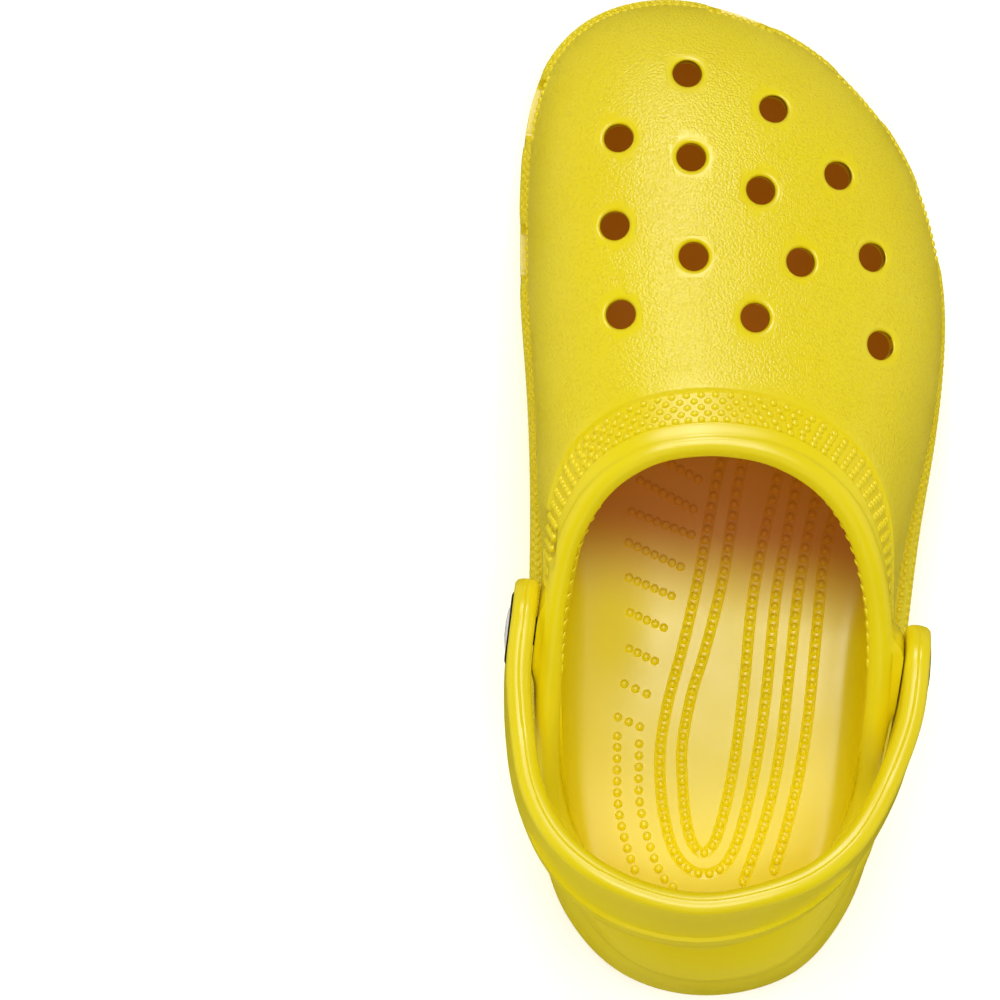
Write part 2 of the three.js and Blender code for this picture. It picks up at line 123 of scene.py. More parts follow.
STRAP_LINE = [
    (-58.9, -64), (-56.1, -81), (-48.2, -96.6), (-34, -108.5), (-9.5, -114.8), (16.7, -108.3),
    (32.3, -95.6), (41.6, -80.5), (46.4, -68.5),
]
GAP = 0.3
SHANK_RADIUS = 4
HEAD_RADIUS = 10.3
HEAD_SEAT_DEPTH = 2.6
HEAD_THICKNESS = 2.6
EMBLEM_RADIUS = 7.3
EMBLEM_SINK = 1
HEAD_PROUD = 0.2  # how much further the finished head stands out
CAP_RADIUS = 7.5
CAP_SEAT = 47.6
CAP_SLEEVE_RADIUS = 5.3

# ---- Small tools ----

UP = np.array([0.0, 0.0, 1.0])
AXIS = np.array([math.cos(SKEW), math.sin(SKEW), 0])  # of the strap's pivot, towards the outer side


def unit(vectors):
    return vectors / np.linalg.norm(vectors, axis=-1, keepdims=True)


def smooth(start, end, value):
    t = np.clip((np.asarray(value, float) - start) / (end - start), 0, 1)
    return t * t * (3 - 2 * t)


def blend(start, end, share):
    return start + (end - start) * share


def closed_spline(points):
    """A smooth closed curve through the points; the parameter runs from 0 to 1."""
    count = len(points)
    eye = np.eye(count)
    control = np.linalg.solve((4 * eye + np.roll(eye, 1, 1) + np.roll(eye, -1, 1)) / 6, points)

    def at(u, slope=False):
        place = (np.asarray(u, float) % 1) * count
        i = np.floor(place).astype(int)
        w = (place - i)[..., None]
        a, b, c, d = (control[(i + k) % count] for k in (-1, 0, 1, 2))
        if slope:
            return (-(1 - w) ** 2 * a + (3 * w * w - 4 * w) * b
                    + (-3 * w * w + 2 * w + 1) * c + w * w * d) / 2
        return ((1 - w) ** 3 * a + (3 * w ** 3 - 6 * w * w + 4) * b
                + (-3 * w ** 3 + 3 * w * w + 3 * w + 1) * c + w ** 3 * d) / 6
    return at


def travel_along(line):
    """How far along the line each of its places lies."""
    return np.concatenate([[0], np.cumsum(np.linalg.norm(np.diff(line, axis=0), axis=1))])


def open_curve(points, count):
    """Evenly spaced places on a smooth curve through the points."""
    p = np.array(points, float)
    p = np.vstack([2 * p[0] - p[1], p, 2 * p[-1] - p[-2]])
    knots = np.linalg.norm(np.diff(p, axis=0), axis=1) ** 0.5
    dense = []
    for i in range(1, len(p) - 2):
        before, here, after = knots[i - 1], knots[i], knots[i + 1]
        start = (p[i] - p[i - 1]) / before - (p[i + 1] - p[i - 1]) / (before + here)
        start = (start + (p[i + 1] - p[i]) / here) * here
        end = (p[i + 1] - p[i]) / here - (p[i + 2] - p[i]) / (here + after)
        end = (end + (p[i + 2] - p[i + 1]) / after) * here
        t = np.linspace(0, 1, 60, endpoint=False)[:, None]
        dense.append(p[i] + start * t + (3 * (p[i + 1] - p[i]) - 2 * start - end) * t ** 2
                     + (2 * (p[i] - p[i + 1]) + start + end) * t ** 3)
    dense = np.vstack([*dense, p[-2]])
    travelled = travel_along(dense)
    even = np.linspace(0, travelled[-1], count)
    return np.stack([np.interp(even, travelled, axis) for axis in dense.T], 1), travelled[-1]


def add(name, data):
    thing = bpy.data.objects.new(name, data)
    bpy.context.scene.collection.objects.link(thing)
    return thing


def make_piece(name, points, faces):
    mesh = bpy.data.meshes.new(name)
    mesh.from_pydata((np.asarray(points) * MM).tolist(), [], faces)
    return add(name, mesh)


def polish(piece, angle=38):
    """Smooth shading with crisp edges where faces meet at more than the angle."""
    piece.data.polygons.foreach_set("use_smooth", [True] * len(piece.data.polygons))
    piece.data.set_sharp_from_angle(angle=math.radians(angle))
    piece.modifiers.new("normals", "WEIGHTED_NORMAL").keep_sharp = True


def loft_faces(rows, count, offset=0):
    """Faces of rings of equally many points, numbered after a start point and before an end point."""
    def at(row, i):
        return offset + 1 + row * count + i % count

    faces = []
    for i in range(count):
        faces.append((offset, at(0, i + 1), at(0, i)))
        faces.append((offset + 1 + rows * count, at(rows - 1, i), at(rows - 1, i + 1)))
        for row in range(rows - 1):
            faces.append((at(row, i), at(row, i + 1), at(row + 1, i + 1), at(row + 1, i)))
    return faces


class Solids:
    """Closed lofts gathered into one mesh."""

    def __init__(self):
        self.points = []
        self.faces = []
        self.size = 0

    def add(self, rings, start, end):
        rings = np.asarray(rings, float)
        rows, count = rings.shape[:2]
        self.faces += loft_faces(rows, count, offset=self.size)
        block = np.vstack([start, rings.reshape(-1, 3), end])
        self.points.append(block)
        self.size += len(block)

    def piece(self, name):
        return make_piece(name, np.vstack(self.points), self.faces)


def carve(piece, cutters):
    """Cuts the cutters out of the piece, for good."""
    for cutter in cutters:
        modifier = piece.modifiers.new("cut", "BOOLEAN")
        modifier.operation = "DIFFERENCE"
        modifier.solver = "MANIFOLD"
        modifier.object = cutter
    evaluated = piece.evaluated_get(bpy.context.evaluated_depsgraph_get())
    result = bpy.data.meshes.new_from_object(evaluated)
    piece.modifiers.clear()
    piece.data = result
    for cutter in cutters:
        bpy.data.objects.remove(cutter)


def places_of(piece):
    places = np.empty(len(piece.data.vertices) * 3, np.float32)
    piece.data.vertices.foreach_get("co", places)
    return places.reshape(-1, 3) / MM


def tree_of(piece):
    polygons = [tuple(face.vertices) for face in piece.data.polygons]
    return BVHTree.FromPolygons(places_of(piece).tolist(), polygons)


def cast(tree, origin, direction, reach=400):
    place, normal, _, _ = tree.ray_cast(Vector(origin), Vector(direction), reach)
    return (None, None) if place is None else (np.array(place), np.array(normal))


def frame_about(axis):
    """Two directions square to the axis and to each other, the first as upright as it can be."""
    first = UP - axis * (UP @ axis)
    if np.linalg.norm(first) < 1e-3:
        first = np.array([0.0, 1.0, 0.0]) - axis * axis[1]
    first = unit(first)
    return first, np.cross(axis, first)


def ellipse(first, second, count, first_radius=1, second_radius=1):
    """Places round the origin, from the first direction towards the second."""
    turn = np.arange(count) / count * 2 * math.pi
    return (np.outer(np.cos(turn) * first_radius, first)
            + np.outer(np.sin(turn) * second_radius, second))


# ---- The shoe's surface ----

outline = closed_spline(STATIONS[:, :3])
crest = closed_spline(STATIONS[:, 3:])


def flat_normal(slopes):
    return unit(np.stack([slopes[:, 1], -slopes[:, 0], np.zeros(len(slopes))], 1))


def lift(y):
    toe = np.maximum(0, (y - TOE_SPRING[0]) / (TOE_SPRING[1] - TOE_SPRING[0]))
    heel = np.maximum(0, (y - HEEL_KICK[0]) / (HEEL_KICK[1] - HEEL_KICK[0]))
    return TOE_SPRING[2] * toe ** 2 + HEEL_KICK[2] * heel ** 2


def footbed_height(x, y):
    along = blend(*FOOTBED_HEIGHTS, smooth(*FOOTBED_FALL, y))
    height, middle, spread = ARCH_RISE
    arch = height * np.exp(-((y - middle) / spread) ** 2) * smooth(*ARCH_SIDE, -x)
    toe_from, toe_to, rise = TOE_RISE
    return along + rise * smooth(toe_from, toe_to, y) ** 2 + arch


class Section:
    """What the profile at each station parameter u is built from, for an array of u."""

    def __init__(self, u):
        edge = outline(u)
        self.heel = 1 - smooth(*HEEL_SPAN, edge[:, 1:2])
        inset = edge[:, 2:3] + HEEL_INSET * self.heel
        edge[:, 2] = 0
        self.edge = edge
        self.normal = flat_normal(outline(u, slope=True))
        top = crest(u)
        base = edge - self.normal * inset
        base[:, 2] = FOLD_HEIGHT + FOLD_LIFT * lift(edge[:, 1])
        across = (base - top) * [1, 1, 0]
        rise = np.degrees(np.arctan2(top[:, 2] - base[:, 2], np.linalg.norm(across, axis=1)))
        at_thirty, gain, least, most = LIP_SLOPE
        slope = np.radians(np.clip(at_thirty + gain * (rise - 30), least, most))[:, None]
        heading = unit(unit(across) + flat_normal(crest(u, slope=True)))
        self.down = heading * np.cos(slope) - UP * np.sin(slope)
        self.facing = heading * np.sin(slope) + UP * np.cos(slope)
        self.lip = top - UP * LIP_RADIUS
        lip_start = self.lip + self.facing * LIP_RADIUS
        chord = np.linalg.norm(lip_start - base, axis=1, keepdims=True)
        self.base = base
        near_fold, near_lip = WALL_FULLNESS
        self.bezier = (base, base + UP * near_fold * chord,
                       lip_start + self.down * near_lip * chord, lip_start)
        # How far down the wall each v lies, measured from the lip.
        self.steps = np.linspace(1, 0, 161)
        line = self.wall(np.tile(self.steps, (len(u), 1)))
        gone = np.linalg.norm(np.diff(line, axis=1), axis=2).cumsum(1)
        self.travelled = np.hstack([np.zeros((len(u), 1)), gone])
        self.length = self.travelled[:, -1]

    def wall(self, v):
        v = v[..., None]
        a, b, c, d = (p[:, None, :] for p in self.bezier)
        w = 1 - v
        return w ** 3 * a + 3 * w * w * v * b + 3 * w * v * v * c + v ** 3 * d

    def down_wall(self, distance):
        """Places at the given distances from the lip (one row of distances for each u), and their v."""
        v = np.stack([np.interp(d, t, self.steps) for d, t in zip(distance, self.travelled)])
        return self.wall(v), v


COLUMNS = 416  # of the shell's mesh, round the shoe
INSIDE_ROWS = 28
DEEP = (-37.75, -5.75)  # along the foot, from the open part of the inside to where the painted shade is full
DEEP_SKEW = 0.15  # how much further back that lies for each millimetre towards the outer side
RING_END = 5.2  # the smooth ring beside the lip, measured down the wall
BAND_END = 13.6  # the bead band outside it
BAND_REACH = (0.222, 0.772)  # station parameters where the bead band ends, on the two sides
BAND_FADE = (0.012, 0.004)  # how far it fades beyond its ends, and before them
CREASE_DEPTH = 0.55
BAND_DEPTH = 0.5
SIDE_CREASE = 0.35  # share of the crease that is left past the ends of the band


def band_mask(u):
    first, last = BAND_REACH
    beyond, within = BAND_FADE
    return smooth(first - beyond, first + within, u) * (1 - smooth(last - within, last + beyond, u))


def collar_relief(u, distance):
    """How far the wall stands back near the collar: a crease beside the rolled lip, then the band."""
    before_end = 1 - smooth(BAND_END - 0.4, BAND_END + 1.2, distance)
    crease = CREASE_DEPTH * smooth(0.3, 2.0, distance) * (1 - 0.35 * smooth(2.2, 4.2, distance))
    band = BAND_DEPTH * smooth(RING_END - 0.3, RING_END + 0.3, distance)
    return -(crease * before_end * blend(SIDE_CREASE, 1, band_mask(u))
             + band * before_end * band_mask(u))


def wall_distances(section):
    """Rows down the wall: close together near the collar and near the fold."""
    near = np.concatenate([np.arange(0, 3.0, 0.3), np.arange(3.0, RING_END - 0.5, 0.6),
                           np.arange(RING_END - 0.4, RING_END + 0.5, 0.2),
                           np.arange(RING_END + 0.8, BAND_END - 0.3, 0.8),
                           np.arange(BAND_END - 0.4, BAND_END + 1.4, 0.25)])
    share = np.minimum(1, 0.62 * section.length / near[-1])[:, None]
    head = near[None, :] * share
    rest = section.length[:, None] - head[:, -1:]
    t = np.linspace(0, 1, 40)[None, 1:]
    return np.hstack([head, head[:, -1:] + rest * (1 - (1 - t) ** 1.25)])


# Sole side, from the ground edge up: inset from the outline, height, share of the lift.
SOLE_SIDE = [
    (7, 0, 1), (5.7, 0.1, 1), (4.6, 0.5, 1), (3.6, 1.2, 1), (2.7, 2.1, 1), (2.0, 3.2, 1),
    (1.5, 4.5, 1), (1.2, 5.9, 1), (1.05, 7.2, 0.97), (1.5, 7.7, 0.96), (1.75, 8.1, 0.95),
    (1.75, 8.5, 0.94), (1.4, 8.9, 0.93), (0.75, 9.4, 0.92), (0.5, 10.6, 0.87), (0.32, 12.4, 0.8),
    (0.2, 14.4, 0.74), (0.1, 16.8, 0.66), (0, 19.4, 0.58), (0, 21.6, 0.51), (0.05, 23.6, 0.45),
    (0.2, 25.4, 0.4), (0.42, 26.8, 0.36),
]
# The shoulder between the sole side and the fold: share of the way in, and of the way up.
SHOULDER = [(0.06, 0.22), (0.17, 0.45), (0.33, 0.66), (0.53, 0.83), (0.77, 0.95)]
# Rings of the underside and the footbed: share of the way from the middle to the rim.
SOLE_RINGS = (0.15, 0.3, 0.45, 0.58, 0.7, 0.8, 0.88, 0.94, 0.98)
FOOTBED_RINGS = (0.96, 0.91, 0.85, 0.78, 0.7, 0.62, 0.54, 0.46, 0.38, 0.3, 0.22, 0.14, 0.07)
FILLET_STEPS = (0.12, 0.26, 0.4, 0.55, 0.7, 0.85, 1)


def about_pivot(points, side):
    """How far the points reach out along the pivot's axis on one side, and how far off it they are."""
    outward = AXIS * side
    offset = points - PIVOT
    reach = offset @ outward
    return reach, np.linalg.norm(offset - reach[..., None] * outward, axis=-1)


def soften_fold(rows, low, high, heel):
    """Evens out the rows about the fold between sole and wall, most at the back of the heel."""
    for _ in range(FOLD_PASSES):
        middle = (rows[low - 1:high - 1] + rows[low + 1:high + 1]) / 2
        rows[low:high] += 0.5 * blend(*FOLD_SOFTENING, heel) * (middle - rows[low:high])


def make_room_for_strap(outer, outer_and_lip):
    """Raises a flat boss for each ear, and sets the wall back where the arms swing."""
    for side in (-1, 1):
        reach, radius = about_pivot(outer, side)
        short = np.maximum(0, EAR_INNER - BOSS_GAP - reach) * (reach > 0)
        outer += (short * (1 - smooth(*BOSS, radius)))[..., None] * (AXIS * side)
    for side, limit, start, end in SWEEP_CLEARANCE:
        reach, radius = about_pivot(outer_and_lip, side)
        over = np.maximum(0, reach - limit) * smooth(start, start + 2, radius)
        outer_and_lip -= (over * (1 - smooth(end, end + 3, radius)))[..., None] * (AXIS * side)


def body_rows(u):
    """The shell as rows of places, up the outside, over the lip and down inside, with its layers."""
    section = Section(u)
    rows = []
    ground = (section.edge - section.normal * SOLE_SIDE[0][0])[:, :2]
    for share in SOLE_RINGS:
        place = CENTRE + (ground - CENTRE) * share
        rows.append(np.column_stack([place, lift(place[:, 1])]))
    side_from = len(rows)
    for inset, height, share in SOLE_SIDE:
        lean = section.heel * blend(*HEEL_LEAN, smooth(*HEEL_LEAN_RISE, height))
        point = section.edge - section.normal * (inset + lean)
        point[:, 2] = height + share * lift(point[:, 1])
        rows.append(point)
    last = rows[-1]
    for inward, upward in SHOULDER:
        point = last + (section.base - last) * inward
        point[:, 2] = last[:, 2] + (section.base[:, 2] - last[:, 2]) * upward
        rows.append(point)
    distance = wall_distances(section)
    wall, v = section.down_wall(distance)
    wall, v = wall.transpose(1, 0, 2), v.T  # rows first, from the lip down
    across = np.roll(wall, -1, 1) - np.roll(wall, 1, 1)
    normal = unit(np.cross(np.gradient(wall, axis=0), across))
    normal *= np.sign((normal * section.normal[None]).sum(2).mean())
    outside = wall + normal * collar_relief(u[None, :], distance.T)[..., None]
    wall_from = len(rows)
    rows += list(outside[::-1])
    wall_to = len(rows)
    for degrees in range(15, 180, 15):
        angle = math.radians(degrees)
        rows.append(section.lip + LIP_RADIUS * (section.facing * math.cos(angle)
                                                - section.down * math.sin(angle)))
    thickness = blend(WALL, WALL_AT_FOLD, 1 - smooth(0, 0.3, v))
    thickness += (2 * LIP_RADIUS - WALL) * smooth(0.8, 1, v)
    inside = wall - normal * thickness[..., None]
    # The inside of the wall ends where the fillet above the footbed starts.
    share = np.linspace(0, 1, INSIDE_ROWS)
    foot = []
    for column in inside.transpose(1, 0, 2):
        gap = column[:, 2] - footbed_height(column[:, 0], column[:, 1])
        low = int(np.argmax(gap < FILLET)) if (gap < FILLET).any() else len(gap) - 1
        stop = low - 1 + (gap[low - 1] - FILLET) / max(1e-6, gap[low - 1] - gap[low])
        at = np.clip(stop, 1, len(gap) - 1) * share
        foot.append([np.interp(at, np.arange(len(gap)), axis) for axis in column.T])
    foot = np.array(foot).transpose(2, 0, 1)
    inside_from = len(rows)
    rows += list(foot)
    start = foot[-1]
    corner = start - section.normal * 0.6
    corner[:, 2] = footbed_height(corner[:, 0], corner[:, 1])
    end = start - section.normal * (FILLET + 1)
    end[:, 2] = footbed_height(end[:, 0], end[:, 1])
    for t in FILLET_STEPS:
        rows.append((1 - t) ** 2 * start + 2 * t * (1 - t) * corner + t * t * end)
    rim = rows[-1][:, :2]
    for share in FOOTBED_RINGS:
        place = CENTRE + (rim - CENTRE) * share
        rows.append(np.column_stack([place, footbed_height(place[:, 0], place[:, 1])]))
    rows = np.array(rows)
    soften_fold(rows, side_from + len(SOLE_SIDE) - 6, wall_from + 14, section.heel)
    make_room_for_strap(rows[side_from:wall_to], rows[side_from:wall_to + 6])
    # The layers that colour it: how pebbled, how much painted shade it gets under the vamp, and whether
    # inside, where it gets a painted glow.
    grain = np.zeros(rows.shape[:2])
    painted_shade = np.zeros(rows.shape[:2])
    inner = np.zeros(rows.shape[:2])
    inner[inside_from:] = smooth(-1, 10, np.arange(len(rows) - inside_from))[:, None]
    within = rows[inside_from + 4:]
    painted_shade[inside_from + 4:] = depth_inside(within[..., 0], within[..., 1])
    y = outside[::-1][..., 1]
    d = distance.T[::-1]
    vamp = smooth(BAND_END + 0.2, BAND_END + 3, d) * smooth(-60, 0, y)
    vamp = vamp * smooth(2, 6, section.length[None, :] - d)
    grain[wall_from:wall_to] = vamp
    return rows, {"grain": grain, "painted_shade": painted_shade, "inside": inner}


def depth_inside(x, y):
    """How far under the vamp a place inside the shoe is, from 0 at the opening to 1; it sets the painted
    shade there.
    """
    return smooth(*DEEP, y + DEEP_SKEW * x)


def mark(piece, label, values):
    layer = piece.data.attributes.new(label, "FLOAT", "POINT")
    layer.data.foreach_set("value", np.asarray(values, np.float32))


def clog_shell():
    u = np.arange(COLUMNS) / COLUMNS
    rows, layers = body_rows(u)
    start = [CENTRE[0], CENTRE[1], 0]
    end = [CENTRE[0], CENTRE[1], footbed_height(*CENTRE)]
    points = np.vstack([start, rows.reshape(-1, 3), end])
    piece = make_piece("clog_shell", points, loft_faces(len(rows), COLUMNS))
    for label, values in layers.items():
        mark(piece, label, np.concatenate([[0], values.ravel(), [0]]))
    return piece


shell = clog_shell()
skin = tree_of(shell)

# ---- The pivot ----

BEHIND = np.array([math.sin(SKEW), -math.cos(SKEW), 0])
STRAP_BACK = BEHIND * math.cos(TILT) + UP * math.sin(TILT)
STRAP_UP = -np.cross(AXIS, STRAP_BACK)
EAR_OUTER = EAR_INNER + STRAP_THICKNESS
HEAD_SEAT = EAR_OUTER - HEAD_SEAT_DEPTH
HEAD_BACK = HEAD_SEAT + GAP
HEAD_FACE = HEAD_BACK + HEAD_THICKNESS + HEAD_PROUD
CAP_FACE = CAP_SEAT - GAP
CAP_FLOOR = CAP_FACE - 0.9


def turned(solids, side, profile, segments=72):
    """A turned shape; its profile is (radius, distance from the pivot's centre), first and last at 0."""
    outward = AXIS * side
    ring = ellipse(*frame_about(outward), segments)
    if profile[-1][1] < profile[0][1]:
        ring = ring[::-1]
    rings = [PIVOT + outward * s + ring * r for r, s in profile[1:-1]]
    solids.add(rings, PIVOT + outward * profile[0][1], PIVOT + outward * profile[-1][1])


# ---- Cutting the shell ----


VENT_MOUTH = [  # radius, height above the surface
    (6.3, 0.5), (5.9, 0.015), (5.5, -0.035), (5.15, -0.11), (4.8, -0.24), (4.5, -0.45),
    (4.27, -0.75), (4.12, -1.15), (VENT_RADIUS, -1.7),
]
VENT_DEPTHS = (3, 14)
VENT_SEGMENTS = 44


def vent_cutters():
    """Round holes with a softened mouth that follows the surface, with painted shade further in."""
    solids = Solids()
    vent_shade = []
    for x, y in VENTS:
        centre, normal = cast(skin, (x, y, 200), (0, 0, -1))
        axis = unit(normal + blend(*VENT_PULL, smooth(0.3, 0.7, normal[2])) * UP)
        ring = ellipse(*frame_about(axis), VENT_SEGMENTS)
        rings = []
        for radius, height in VENT_MOUTH:
            points = []
            for spoke in ring:
                place, _ = cast(skin, centre + spoke * radius + axis * 12, -axis)
                points.append(place + axis * height)
            rings.append(points)
        rings += [centre - axis * depth + ring * VENT_RADIUS for depth in VENT_DEPTHS]
        solids.add(np.array(rings)[:, ::-1], centre + axis * 1.5, centre - axis * VENT_DEPTHS[-1])
        # Painted shade inside each vent, growing further in.
        vent_shade += [0] * (1 + VENT_SEGMENTS * (len(VENT_MOUTH) - 1))
        vent_shade += [0.4] * VENT_SEGMENTS + [1] * (2 * VENT_SEGMENTS + 1)
    piece = solids.piece("vents")
    mark(piece, "painted_shade", vent_shade)
    return piece


PORT_FLARE = [(-20, 0), (-6.5, 0), (-5, 4), (6, 11)]  # distance out, rise of the port's top there


def port_cutters():
    """The rinse ports: flat slots through the wall above the sole, open upwards outside."""
    solids = Solids()
    u = np.arange(4000) / 4000
    line = outline(u)
    normals = flat_normal(outline(u, slope=True))
    for x, y, length in PORTS:
        i = int(np.argmin(np.hypot(line[:, 0] - x, line[:, 1] - y)))
        out = normals[i]
        along = np.array([-out[1], out[0], 0])
        half = PORT_HEIGHT / 2
        straight = length / 2 - half
        bend = np.radians(np.arange(-90, 91, 15))
        right = np.stack([straight + half * np.cos(bend), half * np.sin(bend)], 1)
        shape = np.vstack([right, -right])
        centre = np.array([line[i][0], line[i][1], PORT_CENTRE_Z + 0.5 * lift(y)])
        rings = [centre + np.outer(shape[:, 0], along) + out * depth
                 + np.outer(shape[:, 1] + (shape[:, 1] > 0.5) * rise, UP)
                 for depth, rise in PORT_FLARE]
        solids.add(rings, centre + out * PORT_FLARE[0][0], centre + out * PORT_FLARE[-1][0])
    return solids.piece("ports")


def rivet_cutters():
    """The stepped bores for the rivets and their socket caps."""
    solids = Solids()
    inner_end, outer_end = CAP_SEAT - 12, EAR_INNER + 3  # both clear of the wall
    for side in (-1, 1):
        turned(solids, side, [
            (0, inner_end), (CAP_RADIUS + GAP, inner_end), (CAP_RADIUS + GAP, CAP_SEAT),
            (CAP_SLEEVE_RADIUS + GAP, CAP_SEAT), (CAP_SLEEVE_RADIUS + GAP, outer_end),
            (0, outer_end)], 48)
    return solids.piece("rivet_holes")


# Lines of nubs on the footbed, as plan positions.
NUB_GROOVES = [
    [(8, 42), (3, 24), (-1.9, 6.3), (-7.4, -22.3), (-11.7, -40.9), (-16.5, -59.2), (-18.5, -72.9),
     (-17.7, -88.1), (-14.8, -99.8), (-12, -104.1), (-8.3, -106.7), (-4.4, -107), (-0.8, -105.4),
     (2.1, -101.3), (4.6, -94.7), (8.1, -80.1), (11.5, -58.6), (14.9, -27.2), (18.6, -7.4),
     (22, 9), (27, 30)],
    [(12, 40), (8, 20), (4.3, 5.7), (-0.5, -22.9), (-5.9, -44.1), (-9.4, -55.5), (-12.2, -70.7),
     (-12.2, -78.4), (-10.8, -93.2), (-8.8, -99), (-6.2, -101.2), (-3.5, -99), (-1.1, -92.7),
     (2.6, -76.1), (5.5, -53.8), (8.1, -28.6), (11.8, -8.6), (14.5, 2), (19, 22)],
    [(31, 18), (24.9, -6.3), (21.2, -26.6), (18.1, -53.2), (15.5, -74.1), (11.8, -91),
     (6.9, -105.3), (5.2, -109.6)],
    [(34, 4), (29.2, -13.7), (26.4, -37.8), (23.8, -62.9), (20.9, -80.7), (17.5, -94.7),
     (14.1, -106.4)],
]
NUB_LINES = [
    [(-24.5, -69.8), (-24.3, -86.7), (-20.8, -100.7), (-17.7, -107.8), (-14.8, -110.7)],
    [(-30.8, -67.5), (-30.5, -87.2), (-28, -99.3), (-25.7, -105.8)],
]
NUB_DASHES = [  # first and last nub, and how many
    ((-30.6, -62.1), (-24.3, -64.9), 3), ((-28.8, -52.6), (-22.3, -55.5), 3),
    ((-27.4, -42.6), (-20, -46.1), 4), ((-27.1, -32.3), (-17.4, -36.6), 5),
    ((-27.4, -22.3), (-15.1, -27.5), 6), ((-27.4, -12.3), (-12.5, -19.2), 7),
    ((-26.5, -3.4), (-9.4, -10), 8), ((-24, 5.5), (-8.8, -2.6), 8), ((-20, 13), (-7.4, 6), 6),
]
NUB_PITCH = 3.25
NUB_RADIUS = 1.3
NUB_HEIGHTS = (0.9, 1.25)  # on the plain footbed, and in a groove
GROOVE_RADIUS = 2.6
GROOVE_DEPTH = 0.6


def tube(solids, path, radius, sides=20):
    """A round tube along a path of places, capped at both ends."""
    along = unit(np.gradient(path, axis=0))
    across = unit(np.cross(along, UP))
    top = np.cross(across, along)
    rings = [p + radius * ellipse(a, t, sides) for p, a, t in zip(path, across, top)]
    solids.add(np.array(rings)[:, ::-1], path[0] - along[0] * 0.4, path[-1] + along[-1] * 0.4)


def groove_cutters():
    """Shallow grooves in the footbed, under the curved lines of nubs."""
    solids = Solids()
    for line in NUB_GROOVES:
        _, length = open_curve(line, 200)
        path, _ = open_curve(line, int(length / 1.6))
        height = footbed_height(path[:, 0], path[:, 1]) + GROOVE_RADIUS - GROOVE_DEPTH
        tube(solids, np.column_stack([path, height]), GROOVE_RADIUS)
    return solids.piece("grooves")


TREAD_SPANS = [(-124, -52), (12, 122)]  # along the shoe: the heel, the forefoot
TREAD_PITCH = 8.0
TREAD_DEPTH = 1.6
TREAD_HALF_WIDTH = 0.9
TREAD_MARGIN = 13  # plain edge of the sole beside the channels
ZIGZAG_LENGTH = 12
ZIGZAG_SWING = 5


def tread_cutters():
    """Zigzag channels across the underside, at the forefoot and at the heel."""
    solids = Solids()
    line = outline(np.arange(1200) / 1200)
    wide, narrow = TREAD_HALF_WIDTH, 0.7 * TREAD_HALF_WIDTH  # at the ground, at the bottom
    for y in np.concatenate([np.arange(*span, TREAD_PITCH) for span in TREAD_SPANS]):
        near = line[np.abs(line[:, 1] - y) < 5][:, 0]
        left = near[near < CENTRE[0]].max() + TREAD_MARGIN
        right = near[near > CENTRE[0]].min() - TREAD_MARGIN
        x = np.arange(left, right, 1.5)
        swing = np.abs(((x - left) / ZIGZAG_LENGTH) % 1 * 2 - 1) * ZIGZAG_SWING
        place = np.column_stack([x, y + (swing - ZIGZAG_SWING / 2)])
        rings = [[(px, py - wide, pz - 2), (px, py + wide, pz - 2),
                  (px, py + narrow, pz + TREAD_DEPTH), (px, py - narrow, pz + TREAD_DEPTH)]
                 for (px, py), pz in zip(place, lift(place[:, 1]))]
        solids.add(rings, np.mean(rings[0], 0), np.mean(rings[-1], 0))
    return solids.piece("tread")


BED_MARGIN = 8  # from the outline to where the footbed can start


def darken_footbed(piece):
    """Marks the footbed and its new grooves with painted shade by how deep inside they are, and as inside
    for the painted glow.
    """
    x, y, z = places_of(piece).T
    bed = np.flatnonzero(np.abs(z - footbed_height(x, y) + GROOVE_DEPTH / 2) < GROOVE_DEPTH)
    edge = outline(np.arange(600) / 600)[:, :2]
    away = np.hypot(x[bed, None] - edge[:, 0], y[bed, None] - edge[:, 1]).min(1)
    bed = bed[away > BED_MARGIN]
    for label, fresh in (("painted_shade", depth_inside(x[bed], y[bed])), ("inside", 1)):
        values = np.empty(len(x), np.float32)
        layer = piece.data.attributes[label].data
        layer.foreach_get("value", values)
        values[bed] = fresh
        layer.foreach_set("value", values)


carve(shell, [vent_cutters(), port_cutters(), rivet_cutters(), groove_cutters(), tread_cutters()])
darken_footbed(shell)
polish(shell, 42)

# ---- Beads and nubs ----


DOME = ((1.0, -0.5), (1.0, 0.05), (0.93, 0.4), (0.74, 0.7), (0.42, 0.92))  # size, height


def dome(solids, place, normal, along, long_radius, wide_radius, height, sides=10):
    """A small raised bead, sunk a little into the surface that it stands on."""
    along = unit(along - normal * (along @ normal))
    across = np.cross(normal, along)
    ring = ellipse(along, across, sides, long_radius, wide_radius)
    rings = [place + ring * size + normal * height * level for size, level in DOME]
    solids.add(rings, place - normal * height * 0.5, place + normal * height)


